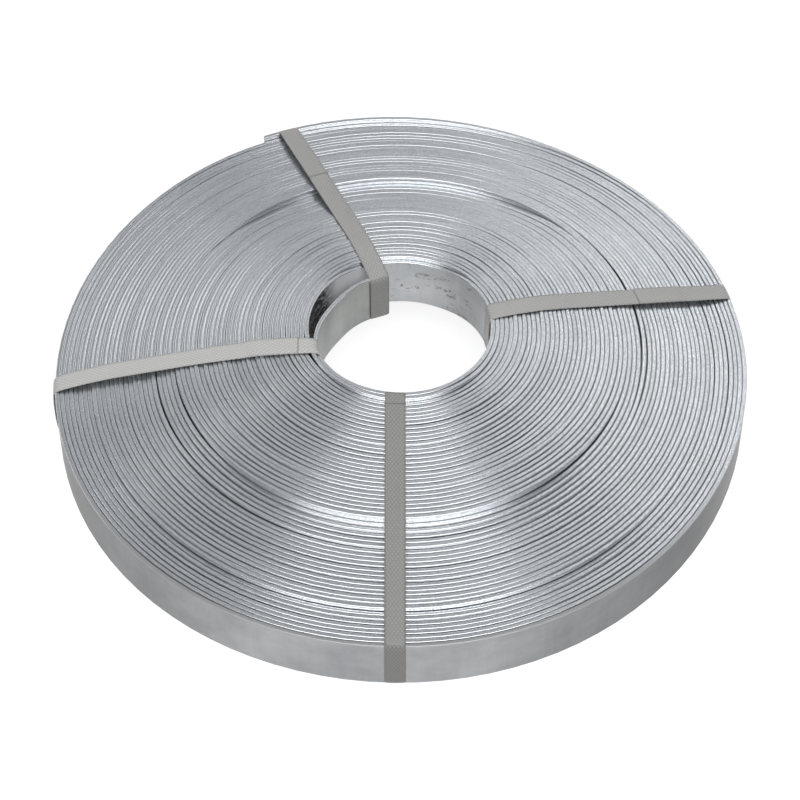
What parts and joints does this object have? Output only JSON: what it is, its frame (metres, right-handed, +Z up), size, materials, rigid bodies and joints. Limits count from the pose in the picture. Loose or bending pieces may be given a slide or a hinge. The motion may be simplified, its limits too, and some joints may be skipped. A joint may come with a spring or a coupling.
{
  "type": "aluminium strip coil",
  "caption": "Flat coil of plain aluminium strip with an open bore, its turns domed up towards the middle, bound round its section by plastic straps.",
  "frame": {"origin": "middle of the coil's footprint, on the floor it lies on", "axes": "+Z up along the coil's axis; -Y is the side with the front strap, +X to its right"},
  "size_m": [0.4534, 0.4556, 0.0747],
  "materials": {
    "strip": "mill finish",
    "strapping": "embossed"
  },
  "bodies": {
    "root": {"strip_coil": "strip", "strap_front": "strapping", "strap_right": "strapping", "strap_back": "strapping", "strap_left": "strapping"}
  },
  "joints": []
}
